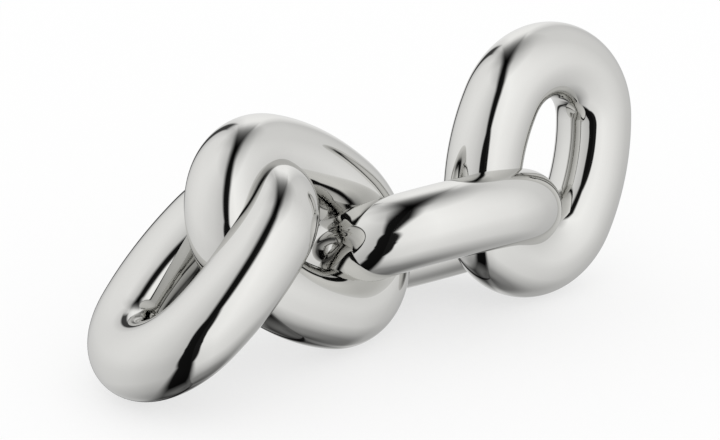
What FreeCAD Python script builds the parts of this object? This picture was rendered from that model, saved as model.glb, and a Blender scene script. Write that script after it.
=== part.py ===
"""Polished metal knot sculpture: four identical chain links of heavy round wire, joined for good.

Every link is one closed oval of round wire. The first one leans forward, the next two pass through
their neighbours, and the last stands almost upright. Each pair crosses about half a wire deep, so
one link of the pair is saddled to take the wire of the other, and all four rest on one surface.
"""
import FreeCAD
import Part
import Sketcher
import math
import os

# Driving sizes in millimetres and degrees. A link's length and width are measured over the wire.
# Places are of a link's centre, seen from above. Yaw turns the link about the vertical axis, pitch
# then lifts its long axis (a negative pitch raises the +X end), and roll turns it about its long axis.
SIZES = [
    ("wire", 45.0, "diameter of the round wire"),
    ("link_length", 165.0, "a link over its rounded ends"),
    ("link_width", 127.6, "a link over its sides"),
    ("side_bow", 2.9, "half width of the centre line less the radius of its ends"),
    ("front_x", -92.3, "front link, centre to the right"),
    ("front_y", -52.5, "front link, centre to the back"),
    ("front_yaw", 45.5, "front link, turn about the vertical axis"),
    ("front_pitch", -36.2, "front link, tilt of its long axis"),
    ("front_roll", -17.6, "front link, turn about its long axis"),
    ("second_x", -39.2, "second link, centre to the right"),
    ("second_y", -10.0, "second link, centre to the back"),
    ("second_yaw", 34.8, "second link, turn about the vertical axis"),
    ("second_pitch", 33.8, "second link, tilt of its long axis"),
    ("second_roll", 57.9, "second link, turn about its long axis"),
    ("third_x", 34.4, "third link, centre to the right"),
    ("third_y", 37.5, "third link, centre to the back"),
    ("third_yaw", 20.2, "third link, turn about the vertical axis"),
    ("third_pitch", -6.2, "third link, tilt of its long axis"),
    ("third_roll", -33.8, "third link, turn about its long axis"),
    ("upright_x", 100.6, "upright link, centre to the right"),
    ("upright_y", 71.7, "upright link, centre to the back"),
    ("upright_yaw", 60.4, "upright link, turn about the vertical axis"),
    ("upright_pitch", -68.6, "upright link, tilt of its long axis"),
    ("upright_roll", 66.1, "upright link, turn about its long axis"),
]
# The same oval worked out in the document's own expressions.
HALF_LENGTH = "(Sizes.link_length - Sizes.wire) / 2"
HALF_WIDTH = "(Sizes.link_width - Sizes.wire) / 2"
END_RADIUS = f"({HALF_WIDTH} - Sizes.side_bow)"
END_CENTRE = f"({HALF_LENGTH} - {END_RADIUS})"
SIDE_CENTRE = f"(({END_CENTRE}^2 - Sizes.side_bow^2) / (2 * Sizes.side_bow))"
SIDE_RADIUS = f"({HALF_WIDTH} + {SIDE_CENTRE})"
VOLUME_MISMATCH = 0.001


def make_sheet(doc):
    """Put the driving sizes into a spreadsheet, one alias per cell."""
    sheet = doc.addObject("Spreadsheet::Sheet", "Sizes")
    for row, (alias, value, note) in enumerate(SIZES, start=1):
        sheet.set(f"A{row}", note)
        sheet.set(f"B{row}", str(value))
        sheet.setAlias(f"B{row}", alias)
    doc.recompute()
    return sheet


def centre_line(sheet):
    """Return the sizes of a link's centre line, an oval of four tangent arcs."""
    half_length = (sheet.link_length - sheet.wire) / 2
    half_width = (sheet.link_width - sheet.wire) / 2
    end_radius = half_width - sheet.side_bow
    end_centre = half_length - end_radius
    side_centre = (end_centre**2 - sheet.side_bow**2) / (2 * sheet.side_bow)
    side_radius = half_width + side_centre
    meeting_angle = math.atan2(side_centre, end_centre)
    return half_width, end_radius, end_centre, side_radius, side_centre, meeting_angle


def body_plane(body, role):
    """Find one of the body's own origin planes."""
    return next(item for item in body.Origin.OriginFeatures if item.Role == role)


def add_centre_line(body, sheet, name):
    """Sketch the oval path that the wire follows, flat in the link's own XY plane."""
    half_width, end_radius, end_centre, side_radius, side_centre, meeting = centre_line(sheet)
    path = body.newObject("Sketcher::SketchObject", name + "_centre_line")
    path.AttachmentSupport = [(body_plane(body, "XY_Plane"), "")]
    path.MapMode = "FlatFace"
    up = FreeCAD.Vector(0, 0, 1)

    def arc(x, y, radius, start, stop):
        circle = Part.Circle(FreeCAD.Vector(x, y, 0), up, radius)
        return path.addGeometry(Part.ArcOfCircle(circle, start, stop), False)

    right = arc(end_centre, 0, end_radius, -meeting, meeting)
    far = arc(0, -side_centre, side_radius, meeting, math.pi - meeting)
    left = arc(-end_centre, 0, end_radius, math.pi - meeting, math.pi + meeting)
    near = arc(0, side_centre, side_radius, math.pi + meeting, 2 * math.pi - meeting)
    crown = path.addGeometry(Part.Point(FreeCAD.Vector(0, half_width, 0)), True)

    start, end, centre = 1, 2, 3
    origin, x_axis, y_axis = -1, -1, -2
    for one, other in ((right, far), (far, left), (left, near), (near, right)):
        path.addConstraint(Sketcher.Constraint("Tangent", one, end, other, start))
    path.addConstraint(Sketcher.Constraint("PointOnObject", right, centre, x_axis))
    path.addConstraint(Sketcher.Constraint("PointOnObject", left, centre, x_axis))
    path.addConstraint(Sketcher.Constraint("PointOnObject", far, centre, y_axis))
    path.addConstraint(Sketcher.Constraint("Equal", right, left))
    path.addConstraint(Sketcher.Constraint("Equal", far, near))
    path.addConstraint(Sketcher.Constraint("PointOnObject", crown, start, y_axis))
    path.addConstraint(Sketcher.Constraint("PointOnObject", crown, start, far))

    def dimension(title, constraint, expression):
        path.renameConstraint(path.addConstraint(constraint), title)
        path.setExpression("Constraints." + title, expression)

    dimension("end_radius", Sketcher.Constraint("Radius", right, end_radius), END_RADIUS)
    to_end = Sketcher.Constraint("DistanceX", origin, start, right, centre, end_centre)
    dimension("end_centre", to_end, END_CENTRE)
    to_crown = Sketcher.Constraint("DistanceY", origin, start, crown, start, half_width)
    dimension("half_width", to_crown, HALF_WIDTH)
    return path


def add_section(body, sheet, name):
    """Sketch the wire's round section, square to the path where the path crosses the XZ plane."""
    section = body.newObject("Sketcher::SketchObject", name + "_section")
    section.AttachmentSupport = [(body_plane(body, "XZ_Plane"), "")]
    section.MapMode = "FlatFace"
    tip = (sheet.link_length - sheet.wire) / 2
    circle = Part.Circle(FreeCAD.Vector(tip, 0, 0), FreeCAD.Vector(0, 0, 1), sheet.wire / 2)
    ring = section.addGeometry(circle, False)
    centre, origin, point, x_axis = 3, -1, 1, -1
    section.addConstraint(Sketcher.Constraint("PointOnObject", ring, centre, x_axis))
    section.renameConstraint(
        section.addConstraint(Sketcher.Constraint("DistanceX", origin, point, ring, centre, tip)), "tip"
    )
    section.renameConstraint(
        section.addConstraint(Sketcher.Constraint("Diameter", ring, sheet.wire)), "wire"
    )
    section.setExpression("Constraints.tip", "(Sizes.link_length - Sizes.wire) / 2")
    section.setExpression("Constraints.wire", "Sizes.wire")
    return section


def resting_height(name):
    """Word the height at which a turned link just touches the floor, worked out from its oval."""
    along = f"abs(sin(Sizes.{name}_pitch))"
    across = f"abs(cos(Sizes.{name}_pitch) * sin(Sizes.{name}_roll))"
    slope = f"sqrt({along}^2 + {across}^2)"
    reach_of_end = f"{END_CENTRE} * {along} + {END_RADIUS} * {slope}"
    reach_of_side = f"{SIDE_RADIUS} * {slope} - {SIDE_CENTRE} * {across}"
    end_is_lowest = f"{END_CENTRE} * {across} <= {SIDE_CENTRE} * {along}"
    return f"Sizes.wire / 2 + (({end_is_lowest}) ? ({reach_of_end}) : ({reach_of_side}))"


def make_wire(doc, sheet, name):
    """Sweep the round section once round the oval, then set the link in its place on the floor."""
    body = doc.addObject("PartDesign::Body", name + "_wire")
    path = add_centre_line(body, sheet, name)
    section = add_section(body, sheet, name)
    doc.recompute()
    pipe = body.newObject("PartDesign::AdditivePipe", name + "_pipe")
    pipe.Profile = section
    pipe.Spine = (path, [f"Edge{number}" for number in range(1, 5)])
    pipe.Mode = "Frenet"
    place = f"create(<<vector>>; Sizes.{name}_x; Sizes.{name}_y; {resting_height(name)})"
    turn = f"create(<<rotation>>; Sizes.{name}_yaw; Sizes.{name}_pitch; Sizes.{name}_roll)"
    body.setExpression("Placement", f"create(<<placement>>; {place}; {turn})")
    doc.recompute()
    return body


def seat_link(doc, name, wire, neighbour):
    """Saddle a link's wire round its neighbour's, as deep as the two cross."""
    link = doc.addObject("Part::Cut", name + "_link")
    link.Base = wire
    link.Tool = neighbour
    return link


def check_document(doc, sheet, wires, links):
    """Stop if a feature failed, a link fell apart or a wire hasn't the volume of its sweep."""
    for item in doc.Objects:
        if "Invalid" in item.State or "Error" in item.State:
            raise RuntimeError(f"{item.Name} failed: {item.State}")
    for link in links:
        shape = link.Shape
        if shape.isNull() or not shape.isValid() or len(shape.Solids) != 1:
            raise RuntimeError(f"{link.Label} is not one sound solid")
    half_width, end_radius, end_centre, side_radius, side_centre, meeting = centre_line(sheet)
    round_trip = 4 * (end_radius * meeting + side_radius * (math.pi / 2 - meeting))
    expected = math.pi / 4 * sheet.wire**2 * round_trip
    for wire in wires:
        if abs(wire.Shape.Volume / expected - 1) > VOLUME_MISMATCH:
            raise RuntimeError(f"{wire.Label} holds {wire.Shape.Volume:.0f}, not {expected:.0f} cubic mm")


def main():
    doc = FreeCAD.newDocument("KnotSculpture")
    sheet = make_sheet(doc)
    names = ["front", "second", "third", "upright"]
    wires = [make_wire(doc, sheet, name) for name in names]
    links = [seat_link(doc, *trio) for trio in zip(names, wires, wires[1:])]
    wires[-1].Label = names[-1] + "_link"
    links.append(wires[-1])
    doc.recompute()
    check_document(doc, sheet, wires, links)

    os.makedirs("parts", exist_ok=True)
    whole = FreeCAD.BoundBox()
    for link in links:
        link.Shape.exportStep(f"parts/{link.Label}.step")
        box = link.Shape.optimalBoundingBox(False)
        whole.add(box)
        print(f"{link.Label}: {link.Shape.Volume / 1000:.0f} cm3, lowest point {box.ZMin:.3f} mm")
    print(f"whole: X {whole.XMin:.2f} to {whole.XMax:.2f}, Y {whole.YMin:.2f} to {whole.YMax:.2f},"
          f" Z {whole.ZMin:.3f} to {whole.ZMax:.2f} mm")


main()
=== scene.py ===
# %% [markdown]
# # A polished metal knot of four chain links
#
# Four fat, closed, oval links of round metal rod run through each other like
# the end of a huge chain, and lie frozen in one pose on a table. Every link is
# the same oval, bent in one plane from a 45 mm rod and polished to a mirror.
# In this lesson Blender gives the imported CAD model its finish: the links are
# made again as fine, truly smooth meshes, because a mirror shows every facet,
# and a small photographic set is built around them, because a mirror is only as
# good as what it has to reflect.

import math

import bpy
import numpy as np
from mathutils import Euler, Matrix, Vector


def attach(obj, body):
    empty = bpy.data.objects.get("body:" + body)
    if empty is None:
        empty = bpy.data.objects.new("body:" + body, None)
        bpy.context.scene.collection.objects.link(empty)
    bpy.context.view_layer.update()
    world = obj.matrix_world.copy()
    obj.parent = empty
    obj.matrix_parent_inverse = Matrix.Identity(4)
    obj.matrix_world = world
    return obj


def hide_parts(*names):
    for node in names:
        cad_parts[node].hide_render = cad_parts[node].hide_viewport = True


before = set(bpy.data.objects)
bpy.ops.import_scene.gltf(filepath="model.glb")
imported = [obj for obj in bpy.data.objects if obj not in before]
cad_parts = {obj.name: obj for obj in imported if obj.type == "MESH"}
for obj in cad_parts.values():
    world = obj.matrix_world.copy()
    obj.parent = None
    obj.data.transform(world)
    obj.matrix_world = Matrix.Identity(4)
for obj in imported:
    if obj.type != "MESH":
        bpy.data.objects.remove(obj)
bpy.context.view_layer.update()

# %% [markdown]
# ## The sizes that all four links share
#
# A link's centre line is an oval of four arcs that meet without a corner: two
# tight arcs round its ends and two nearly straight ones along its sides. It
# could be drawn by hand as a Bezier curve, but then four curves would have to
# be kept alike. Worked out from a few lengths, it is right once for all four.

# %% Named lengths of a link, in metres
wire = 0.045  # diameter of the round rod
link_length = 0.165  # over all
link_width = 0.1276  # over all
side_bow = 0.0029  # how far a long side bulges over its straight chord

half_length = (link_length - wire) / 2
half_width = (link_width - wire) / 2
end_radius = half_width - side_bow
end_centre = half_length - end_radius
side_centre = (end_centre**2 - side_bow**2) / (2 * side_bow)
side_radius = half_width + side_centre
meeting = math.atan2(side_centre, end_centre)  # where the arcs meet, from the link's tip

print("end arc radius %.1f mm, side arc radius %.1f mm" % (1e3 * end_radius, 1e3 * side_radius))
print("the arcs meet %.1f degrees round from the tip of the link" % math.degrees(meeting))

# %% [markdown]
# ## Where each link lies
#
# The links are rigid and keep their places, so each one needs only a middle
# and three turns: yaw about Z, then pitch about Y, then roll about X. The
# middle's height isn't typed in. It is worked out from how far the turned link
# reaches down, so that every link's lowest point touches the table.

# %% Placements of the four links
placements = {  # x and y of the middle in metres, then yaw, pitch and roll in degrees
    "front_link": ((-0.0923, -0.0525), (45.5, -36.2, -17.6)),
    "second_link": ((-0.0392, -0.0100), (34.8, 33.8, 57.9)),
    "third_link": ((0.0344, 0.0375), (20.2, -6.2, -33.8)),
    "upright_link": ((0.1006, 0.0717), (60.4, -68.6, 66.1)),
}
seated_on = {
    "front_link": "second_link",
    "second_link": "third_link",
    "third_link": "upright_link",
}


def lowest_point(turn):
    """How far a link turned like this reaches below its own middle."""
    down = turn.inverted() @ Vector((0, 0, -1))
    flat = math.hypot(down.x, down.y)
    if abs(down.x) > flat * math.cos(meeting):
        reach = end_radius * flat + end_centre * abs(down.x)
    else:
        reach = side_radius * flat - side_centre * abs(down.y)
    return reach + wire / 2


def place(name):
    """The matrix that takes a link from its own plane to its place in the knot."""
    (x, y), (yaw, pitch, roll) = placements[name]
    turn = Euler([math.radians(a) for a in (roll, pitch, yaw)], "XYZ").to_matrix()
    return Matrix.Translation((x, y, lowest_point(turn))) @ turn.to_4x4()


for name in placements:
    print("%-13s middle is %.1f mm above the table" % (name, 1e3 * place(name).translation.z))

# %% [markdown]
# ## Small helpers for node trees
#
# Materials, the set and the links are all node trees. One function adds a node
# with its settings and its links, so that each tree reads as a short list.
# Another turns the usual hex colour of a paint chart into the linear values
# that a renderer works in.

# %% Helpers: one node, one colour, one empty material
MATHS, VECTORS, XYZ = "ShaderNodeMath", "ShaderNodeVectorMath", "ShaderNodeCombineXYZ"
MAP_RANGE, MIX, NOISE = "ShaderNodeMapRange", "ShaderNodeMix", "ShaderNodeTexNoise"


def node(tree, kind, *in_order, **named):
    """Adds a node to a tree.

    Its sockets are filled in order, by name (From_Min) or by number (_6), each
    with a value, a socket or a node. A name in small letters is a setting.
    """
    made = tree.nodes.new(kind)
    sockets = dict(enumerate(in_order))
    for key, value in named.items():
        if key[0].islower():
            setattr(made, key, value)
        else:
            sockets[int(key[1:]) if key[0] == "_" else key.replace("_", " ")] = value
    for key, value in sockets.items():
        if isinstance(value, bpy.types.Node):
            value = value.outputs[0]
        if isinstance(value, bpy.types.NodeSocket):
            tree.links.new(value, made.inputs[key])
        else:
            made.inputs[key].default_value = value
    return made


def linear(hex_colour):
    """The linear RGBA of an sRGB hex colour."""
    channels = [int(hex_colour[i : i + 2], 16) / 255 for i in (1, 3, 5)]
    return [c / 12.92 if c <= 0.04045 else ((c + 0.055) / 1.055) ** 2.4 for c in channels] + [1.0]


def material(name):
    """A material with an empty tree, and the tree."""
    made = bpy.data.materials.new(name)
    made.use_nodes = True
    made.node_tree.nodes.clear()
    return made, made.node_tree


white = linear("#FFFFFF")
print("white in linear light:", white, "and mid grey:", [round(c, 3) for c in linear("#808080")])

# %% [markdown]
# ## The finish: mirror polished metal
#
# The real links are probably cast or forged aluminium, or plated steel, ground
# smooth and buffed with ever finer compound until they are a mirror. The eye gets
# that from a metal with a pale, hardly warm colour and almost no roughness.
# Buffing is never quite even, though. It leaves a faint veil, some areas a
# touch softer than others over a few centimetres, with a waviness too shallow
# to see except where it bends a reflection. Both are noise on Object coordinates.
#
# One thing is a device for this picture and isn't true of any metal. In the
# photograph the links are dark where they mirror each other. With one colour for
# everything, and walls that are at most white, those places came out too pale.
# So a link that is seen in another one has a darker metal than the camera sees: painted shade where
# the links mirror each other.

# %% Material: mirror polished metal
pale_metal, warmer_metal = linear("#EFEFEC"), linear("#ECEBE8")
painted_shade_when_mirrored = linear("#DEDEDE")  # painted shade: the darker metal colour a link gets where another link mirrors it
patch_size = 0.030  # the buffing wheel's patches in metres, with finer ones in them
sharpest, softest = 0.02, 0.05  # roughness in and between the patches
wave_length = 0.018  # in metres from crest to crest of what grinding left
wave_height, wave_share = 0.0002, 0.06  # together about 12 microns
print("the metal's own colour in linear light:", [round(c, 3) for c in pale_metal])


def make_polished_metal():
    made, tree = material("mirror_polished_metal")
    where = node(tree, "ShaderNodeTexCoord").outputs["Object"]
    patches = node(tree, NOISE, Vector=where, Scale=1 / patch_size, Detail=4.0, Roughness=0.6)
    softness = patches.outputs["Fac"]
    veil = node(tree, MAP_RANGE, softness, 0.3, 0.7, sharpest, softest)
    # the metal is a little warmer where the polish is softer
    tint = node(tree, MIX, softness, _6=pale_metal, _7=warmer_metal, data_type="RGBA")
    # painted shade: where one link is seen in another, its metal gets the darker colour
    mirrored = node(tree, "ShaderNodeLightPath").outputs["Is Glossy Ray"]
    painted_shade_blend = {"data_type": "RGBA", "blend_type": "MULTIPLY"}
    colour = node(tree, MIX, mirrored, _6=tint.outputs[2], _7=painted_shade_when_mirrored, **painted_shade_blend)
    waves = node(tree, NOISE, Vector=where, Scale=1 / wave_length, Detail=1.0).outputs["Fac"]
    bump = node(tree, "ShaderNodeBump", Strength=wave_share, Distance=wave_height, Height=waves)
    metal = node(
        tree,
        "ShaderNodeBsdfPrincipled",
        Base_Color=colour.outputs[2],
        Metallic=1.0,
        Roughness=veil,
        Normal=bump,
    )
    node(tree, "ShaderNodeOutputMaterial", Surface=metal)
    return made


polished = make_polished_metal()
print(polished.name, "has", len(polished.node_tree.nodes), "nodes")

# %% [markdown]
# ## One link as a Geometry Nodes tree
#
# A link is a ring of rod along the oval. Bending a cylinder or hand-placing
# loops would do, but the rule for the oval is known, so a tree can lay it out:
# each point of a circle is moved to where the oval's outward normal has the
# same direction, a round profile is swept along it, and the sizes stay open as
# named inputs. Equal turns of the normal also put the points closest together
# where the link bends most.

# %% What the tree is told
link_inputs = {
    "Wire": wire,
    "End Radius": end_radius,
    "End Centre": end_centre,
    "Side Radius": side_radius,
    "Side Centre": side_centre,
    "Meeting Angle": meeting,
    "Steps Along": 480,
    "Steps Round": 96,
    "Finish": polished,
}
print("a ring will have", link_inputs["Steps Along"] * link_inputs["Steps Round"], "faces")


# %% The tree that lays out a link
def make_link_tree():
    tree = bpy.data.node_groups.new("oval_link_of_round_wire", "GeometryNodeTree")
    tree.interface.new_socket("Geometry", in_out="INPUT", socket_type="NodeSocketGeometry")
    kinds = {float: "NodeSocketFloat", int: "NodeSocketInt", bpy.types.Material: "NodeSocketMaterial"}
    for name, value in link_inputs.items():
        tree.interface.new_socket(name, in_out="INPUT", socket_type=kinds[type(value)])
    tree.interface.new_socket("Geometry", in_out="OUTPUT", socket_type="NodeSocketGeometry")
    given = node(tree, "NodeGroupInput").outputs

    # the outward normal of each point, in equal turns
    index = node(tree, "GeometryNodeInputIndex")
    share = node(tree, MATHS, index, given["Steps Along"], operation="DIVIDE")
    turn = node(tree, MATHS, share, math.tau, operation="MULTIPLY")
    across = node(tree, MATHS, turn, operation="COSINE")
    up = node(tree, MATHS, turn, operation="SINE")
    outwards = node(tree, XYZ, across, up)
    quarter = node(tree, VECTORS, outwards, operation="SIGN")

    # a point on an end arc: the arc's middle is out along the link
    end_middle = node(tree, XYZ, X=given["End Centre"])
    end_middle = node(tree, VECTORS, quarter, end_middle, operation="MULTIPLY")
    end_point = node(tree, VECTORS, outwards, given["End Radius"], operation="MULTIPLY")
    end_point = node(tree, VECTORS, end_point, end_middle, operation="ADD")

    # a point on a side arc: the arc's middle is far over on the other side
    side_middle = node(tree, XYZ, Y=given["Side Centre"])
    side_middle = node(tree, VECTORS, quarter, side_middle, operation="MULTIPLY")
    side_point = node(tree, VECTORS, outwards, given["Side Radius"], operation="MULTIPLY")
    side_point = node(tree, VECTORS, side_point, side_middle, operation="SUBTRACT")

    off_axis = node(tree, MATHS, across, operation="ABSOLUTE")
    limit = node(tree, MATHS, given["Meeting Angle"], operation="COSINE")
    on_end = node(tree, MATHS, off_axis, limit, operation="GREATER_THAN")
    point = node(tree, "GeometryNodeSwitch", on_end, side_point, end_point, input_type="VECTOR")

    circle = node(tree, "GeometryNodeCurvePrimitiveCircle", Resolution=given["Steps Along"])
    line = node(tree, "GeometryNodeSetPosition", Geometry=circle, Position=point)
    line = node(tree, "GeometryNodeSetCurveNormal", Curve=line, mode="Z_UP")
    rod_radius = node(tree, MATHS, given["Wire"], 2.0, operation="DIVIDE")
    section = node(
        tree, "GeometryNodeCurvePrimitiveCircle", Resolution=given["Steps Round"], Radius=rod_radius
    )
    ring = node(tree, "GeometryNodeCurveToMesh", Curve=line, Profile_Curve=section)
    smooth = node(tree, "GeometryNodeSetShadeSmooth", Geometry=ring, Shade_Smooth=True)
    real = node(tree, "GeometryNodeRealizeInstances", Geometry=smooth)
    finished = node(tree, "GeometryNodeSetMaterial", Geometry=real, Material=given["Finish"])
    node(tree, "NodeGroupOutput", Geometry=finished)
    return tree


link_tree = make_link_tree()
print("the link tree has", len(link_tree.nodes), "nodes")

# %% [markdown]
# ## Four rings, each let into the next
#
# Where two links meet, the metal of one seems to run into the other along a crisp
# line, as in a casting. Two rings that only overlap would look alike from outside,
# but the metal in the crossing would be there twice. So a Boolean cuts each ring
# back by the whole ring of the next link, and it sits there like a saddle. Only
# the last link has nothing to sit on and stays whole.


# %% Make, place and cut the rings
def ring_of(name, matrix):
    """A whole ring with its place in its mesh, as an object at the origin."""
    mesh = bpy.data.meshes.new(name)
    carrier = bpy.data.objects.new(name, mesh)
    bpy.context.scene.collection.objects.link(carrier)
    grow = carrier.modifiers.new("link", "NODES")
    grow.node_group = link_tree
    for socket in link_tree.interface.items_tree:
        if socket.in_out == "INPUT" and socket.name in link_inputs:
            grow[socket.identifier] = link_inputs[socket.name]
    graph = bpy.context.evaluated_depsgraph_get()
    made = bpy.data.meshes.new_from_object(carrier.evaluated_get(graph), depsgraph=graph)
    carrier.modifiers.remove(grow)
    carrier.data = made
    bpy.data.meshes.remove(mesh)
    made.name = name
    made.transform(matrix)
    return carrier


rings = {name: ring_of(name + "_polished", place(name)) for name in placements}
cutters = {name: ring_of(name + "_cutter", place(name)) for name in seated_on.values()}
for name, neighbour in seated_on.items():
    ring = rings[name]
    cut = ring.modifiers.new("seat", "BOOLEAN")
    cut.operation, cut.solver, cut.object = "DIFFERENCE", "EXACT", cutters[neighbour]
    graph = bpy.context.evaluated_depsgraph_get()
    made = bpy.data.meshes.new_from_object(ring.evaluated_get(graph), depsgraph=graph)
    ring.modifiers.remove(cut)
    ring.data = made
    print("%s is seated on %s and has %d faces" % (name, neighbour, len(made.polygons)))
for cutter in cutters.values():
    bpy.data.objects.remove(cutter)

# %% [markdown]
# ## Exact normals, for a mirror without smears
#
# A Boolean leaves slivers along its cut. Smooth shading averages the directions
# of neighbouring faces, and on a mirror the slivers' averages show as smears.
# Bevelling or remeshing the edge would hide them and lose the crisp line. The
# true surface is known here: every face lies on a round rod, either the link's
# own or, on its seat, the neighbour's. So each corner of each face is given the
# exact direction away from that rod's centre line.


# %% Directions away from a rod's centre line
def from_centre_line(points):
    """Nearest point of a link's own centre line for points in its own frame."""
    x, y = points[:, 0], points[:, 1]
    ends = np.stack([np.sign(x) * end_centre, 0 * y], 1)
    sides = np.stack([0 * x, -np.sign(y) * side_centre], 1)
    turn = np.arctan2(np.abs(y), np.abs(x) - end_centre)
    on_end = turn < meeting
    middle = np.where(on_end[:, None], ends, sides)
    radius = np.where(on_end, end_radius, side_radius)[:, None]
    ray = points[:, :2] - middle
    near = middle + ray / np.linalg.norm(ray, axis=1, keepdims=True) * radius
    return np.concatenate([near, np.zeros((len(points), 1))], 1)


def rod_normals(points, name):
    """Directions outwards from the centre line of the named link, and distances from it."""
    matrix = np.array(place(name))
    own = (points - matrix[:3, 3]) @ matrix[:3, :3]
    away = own - from_centre_line(own)
    far = np.linalg.norm(away, axis=1)
    return (away / far[:, None]) @ matrix[:3, :3].T, far


for name, ring in rings.items():
    points = np.array([corner.co for corner in ring.data.vertices])
    own = np.abs(rod_normals(points, name)[1] - wire / 2) < 1e-6
    print("%-13s %5d of %5d points are on its own rod's surface" % (name, own.sum(), len(points)))


# %% Give every corner its normal, and hand the rings over
def triples(collection, key):
    """A vector of every vertex or face of a mesh, as rows of three."""
    values = np.empty(3 * len(collection))
    collection.foreach_get(key, values)
    return values.reshape(-1, 3)


for name, ring in rings.items():
    mesh = ring.data
    points, centres = triples(mesh.vertices, "co"), triples(mesh.polygons, "center")
    of_corner = np.empty(len(mesh.loops), dtype=int)
    mesh.loops.foreach_get("vertex_index", of_corner)
    normals = rod_normals(points, name)[0][of_corner]
    on_seat = np.zeros(len(centres), dtype=bool)
    if name in seated_on:
        # a face lies on the rod whose surface its middle is nearer to
        off_own = np.abs(rod_normals(centres, name)[1] - wire / 2)
        off_other = np.abs(rod_normals(centres, seated_on[name])[1] - wire / 2)
        on_seat = off_other < off_own
        into_seat = -rod_normals(points, seated_on[name])[0][of_corner]
        corners = [face.loop_total for face in mesh.polygons]
        normals = np.where(np.repeat(on_seat, corners)[:, None], into_seat, normals)
    mesh.polygons.foreach_set("use_smooth", np.ones(len(mesh.polygons), dtype=bool))
    mesh.normals_split_custom_set(normals.tolist())
    mesh.materials.clear()
    mesh.materials.append(polished)
    mesh.calc_loop_triangles()
    counts = (ring.name, len(mesh.polygons), len(mesh.loop_triangles), on_seat.sum())
    print("%-22s %6d faces, %6d triangles, %5d faces on the seat" % counts)
    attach(ring, "root")
    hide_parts(name)

# %% [markdown]
# ## The table and the room
#
# The knot stands on plain white paper in a plain white room. A white object
# that only reflects light turns grey where the knot shades it. A sheet of glass
# lit from below would have no shadow at all, and the knot would float. The
# table here is both: matt paper, with about two thirds of its white coming from
# below, which leaves a soft, pale shadow. Reflections don't see it. They see the
# tent of the next step instead.

# %% A white room
world = bpy.data.worlds.new("white_studio")
bpy.context.scene.world = world
world.use_nodes = True
world.node_tree.nodes.clear()
room = node(world.node_tree, "ShaderNodeBackground", Color=white, Strength=1.0)
node(world.node_tree, "ShaderNodeOutputWorld", Surface=room)
print(world.name, "gives an even light of strength 1")

# %% A white table, largely lit from below
table_glow = 0.65  # the share of the table's white that comes from below
table_half_size = 15.0  # in metres, far enough for its edge to be out of every picture


def seen_by(obj, camera=False, diffuse=False, glossy=False, shadow=False):
    """Which rays meet this piece of the set."""
    obj.visible_camera, obj.visible_diffuse, obj.visible_glossy = camera, diffuse, glossy
    obj.visible_transmission, obj.visible_volume_scatter, obj.visible_shadow = camera, False, shadow


paper, tree = material("white_table_paper")
rays = node(tree, "ShaderNodeLightPath").outputs
direct = node(tree, MATHS, rays["Is Camera Ray"], rays["Is Glossy Ray"], operation="ADD")
direct = node(tree, MATHS, direct, rays["Is Transmission Ray"], operation="ADD")
glowing = node(tree, MATHS, direct, table_glow, operation="MULTIPLY", use_clamp=True)
matt = node(tree, "ShaderNodeBsdfDiffuse", Color=linear("#FEFEFE"))
lit_glass = node(tree, "ShaderNodeEmission", Color=white, Strength=1.0)
mixed = node(tree, "ShaderNodeMixShader", glowing, matt, lit_glass)
node(tree, "ShaderNodeOutputMaterial", Surface=mixed)

sheet = bpy.data.meshes.new("table")
half = table_half_size
corners = [(-half, -half, 0), (half, -half, 0), (half, half, 0), (-half, half, 0)]
sheet.from_pydata(corners, [], [(0, 1, 2, 3)])
sheet.materials.append(paper)
table = bpy.data.objects.new("table", sheet)
bpy.context.scene.collection.objects.link(table)
seen_by(table, camera=True, diffuse=True, shadow=True)
print(table.name, "is", 2 * table_half_size, "m across")

# %% [markdown]
# ## The light tent
#
# A mirror has no look of its own, so the set is guessed from what the links
# reflect: two tall, softly lit walls to the left and right, a narrow black gap
# between them where the camera looks in, a bright gap behind, and a dark seam
# to the left of that one. Silverware is often photographed like that. Separate
# cards could stand there as well, but each has four hard edges that a mirror
# shows. So the tent is one smooth shell round the knot that only reflections
# see, and its fabric's brightness comes from curves over two angles: the heading
# round the knot and the rise over its middle. The shell goes on below the table
# and darkens towards its foot, as the table does close to the links, so the
# links get their dark lines without any lamp aimed at them.
#
# The numbers were first worked out from where the reflected rays go, and then adjusted in many small
# rounds, until the picture from this one camera came close to the photograph. From other sides nothing
# has tested them.

# %% The tent's sizes and curves
tent_reach, tent_height = 1.945, 0.415  # in metres, from its middle to its wall and to its top
tent_middle = (0, 0, 0.07)

# brightness by heading: 0 is away from the camera, 90 to the right, and 180 behind the camera,
# where the curve's two ends meet inside the black gap
walls_by_heading = {
    -180: 0.48,
    -142: 0.70,
    -110: 0.82,
    -90: 0.85,
    -40: 0.82,
    -24: 0.60,
    -8: 0.97,
    8: 0.97,
    22: 0.66,
    40: 0.71,
    68: 0.71,
    113: 0.90,
    150: 1.0,
    180: 0.90,
}
# brightness by rise: the walls are even from the table to high up, and dark under the knot
sides_by_rise = {
    -90: 0.08,
    -80: 0.22,
    -70: 0.27,
    -58: 0.52,
    -40: 0.78,
    -20: 0.84,
    0: 0.95,
    30: 1.0,
    60: 1.0,
    78: 0.68,
    90: 0.05,
}
back_by_rise = {
    -90: 0.10,
    -70: 0.25,
    -58: 0.60,
    -30: 0.68,
    0: 0.86,
    30: 0.96,
    50: 0.96,
    65: 0.55,
    90: 0.15,
}
back_ends, sides_begin = 20.0, 80.0  # degrees off straight back, between which the two blend

# half the width of the black gap in metres: widest at the links' height
gap_by_rise = {-90: 0.02, -60: 0.085, -30: 0.12, 0: 0.40, 30: 0.085, 60: 0.07, 90: 0.04}
gap_aside, gap_aside_above, above = -0.075, -0.010, 60.0  # its middle's x at rise 0 and at rise 60
gap_softness = 0.035  # how far its edges fade, in metres
gap_ends = 0.50  # it is open in front only, and fades from y = 0 to here
black = 0.012  # what the dark room beyond the gap still gives
shade, shade_begins, shade_full = 0.7, -66.0, -80.0  # its grey straight below the knot, by rise

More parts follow.
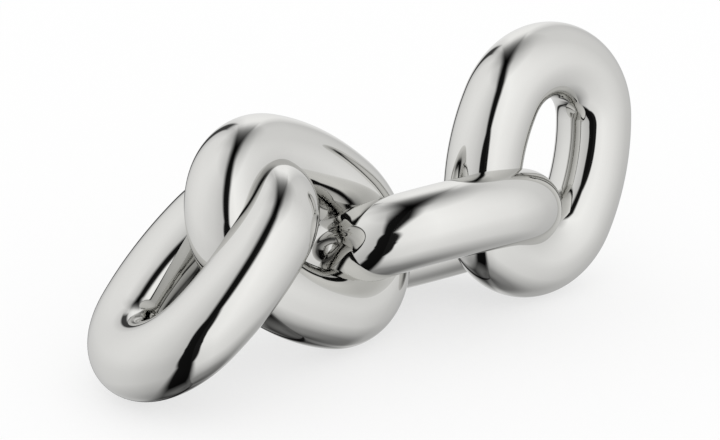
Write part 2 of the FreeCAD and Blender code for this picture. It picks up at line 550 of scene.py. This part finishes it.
# the dark seam: its heading, where it is darkest and where it ends on both sides, and its grey
seam_heading, seam_dark, seam_end, seam_grey = -22.0, 2.5, 7.0, 0.08
seam_fades, seam_gone = 26.0, 42.0  # the rise up to which it goes
print("the tent has", len(walls_by_heading), "stops round the knot")


# %% The tent's fabric
def make_tent_fabric():
    made, tree = material("light_tent")
    where = node(tree, "ShaderNodeTexCoord").outputs["Object"]
    x, y, z = node(tree, "ShaderNodeSeparateXYZ", where).outputs
    level = node(tree, VECTORS, where, (1, 1, 0), operation="MULTIPLY")
    level = node(tree, VECTORS, level, operation="LENGTH").outputs["Value"]
    heading = node(tree, MATHS, x, y, operation="ARCTAN2")
    heading = node(tree, MATHS, heading, operation="DEGREES")
    rise = node(tree, MATHS, z, level, operation="ARCTAN2")
    rise = node(tree, MATHS, rise, operation="DEGREES")

    # each curve becomes a colour ramp over its angle
    curves = {
        "walls": (heading, walls_by_heading),
        "sides": (rise, sides_by_rise),
        "back": (rise, back_by_rise),
        "gap": (rise, gap_by_rise),
    }
    ramps = {}
    for name, (angle, stops) in curves.items():
        low, high = min(stops), max(stops)
        ramps[name] = node(tree, "ShaderNodeValToRGB", node(tree, MAP_RANGE, angle, low, high))
        points = ramps[name].color_ramp.elements
        points[0].color = [stops[low]] * 3 + [1]
        points[1].color = [stops[high]] * 3 + [1]
        for degrees, grey in stops.items():
            if low < degrees < high:
                points.new((degrees - low) / (high - low)).color = [grey] * 3 + [1]

    # the back has a curve of its own, which blends into that of the sides
    aside = node(tree, MATHS, heading, operation="ABSOLUTE")
    aside = node(tree, MAP_RANGE, aside, back_ends, sides_begin, interpolation_type="SMOOTHSTEP")
    fall = node(tree, MIX, aside, A=ramps["back"], B=ramps["sides"], data_type="FLOAT")

    # the gap stands a little to the left, and less so the higher it is
    gap_middle = node(tree, MAP_RANGE, rise, 0.0, above, gap_aside, gap_aside_above)
    beside = node(tree, MATHS, x, gap_middle, operation="SUBTRACT")
    beside = node(tree, MATHS, beside, operation="ABSOLUTE")
    beside = node(tree, MATHS, beside, ramps["gap"], operation="SUBTRACT")
    edges = {"From_Min": -gap_softness, "From_Max": gap_softness}
    beside = node(tree, MAP_RANGE, beside, **edges, interpolation_type="SMOOTHSTEP")
    behind = node(tree, MAP_RANGE, y, 0.0, gap_ends, interpolation_type="SMOOTHSTEP")
    lit = node(tree, MATHS, beside, behind, operation="MAXIMUM")
    # straight below the knot it ends in the grey of the shaded table
    below = node(tree, MAP_RANGE, rise, shade_begins, shade_full, black, shade)
    lit = node(tree, MATHS, lit, below, operation="MAXIMUM")

    # the seam draws the fine black line along the links' left rims
    seam = node(tree, MATHS, heading, seam_heading, operation="SUBTRACT")
    seam = node(tree, MATHS, seam, operation="ABSOLUTE")
    seam = node(tree, MAP_RANGE, seam, seam_dark, seam_end, interpolation_type="SMOOTHSTEP")
    seam = node(tree, MATHS, seam, seam_grey, operation="MAXIMUM")
    over = node(tree, MAP_RANGE, rise, seam_fades, seam_gone, interpolation_type="SMOOTHSTEP")
    seam = node(tree, MATHS, seam, over, operation="MAXIMUM")

    strength = node(tree, MATHS, ramps["walls"], fall, operation="MULTIPLY")
    strength = node(tree, MATHS, strength, lit, operation="MULTIPLY")
    strength = node(tree, MATHS, strength, seam, operation="MULTIPLY")
    glow = node(tree, "ShaderNodeEmission", Color=white, Strength=strength)
    node(tree, "ShaderNodeOutputMaterial", Surface=glow)
    return made


bpy.ops.mesh.primitive_uv_sphere_add(segments=128, ring_count=64, radius=tent_reach)
tent = bpy.context.object
tent.name = "light_tent"
tent.data.transform(Matrix.Diagonal((1, 1, tent_height / tent_reach, 1)))
tent.location = tent_middle
tent.data.materials.append(make_tent_fabric())
seen_by(tent, glossy=True)
print("the tent reaches %.0f mm round the knot and %.0f mm up" % (1e3 * tent_reach, 1e3 * tent_height))

# %% [markdown]
# ## The camera
#
# The ovals of the links tell how steeply the camera looked down, by 22.7 degrees
# if all four are equal. Its distance was chosen and not found: from 1.8 m, or 40
# rod diameters, a long lens keeps the near and the far link almost at one scale.

# %% The camera
look_at = Vector((-0.00494, 0.0359, 0.05706))
distance, looks_down = 1.8, math.radians(22.694)
lens = bpy.data.cameras.new("camera")
lens.sensor_width, lens.lens = 36.0, 154.0
lens.clip_start, lens.clip_end = 0.05, 40.0
camera = bpy.data.objects.new("camera", lens)
back = Vector((0, -math.cos(looks_down), math.sin(looks_down)))
camera.location = look_at + distance * back
camera.rotation_euler = (-back).to_track_quat("-Z", "Y").to_euler()
bpy.context.scene.collection.objects.link(camera)
bpy.context.scene.camera = camera
bpy.context.scene.view_settings.view_transform = "Standard"
print("the camera stands at", [round(c, 3) for c in camera.location])
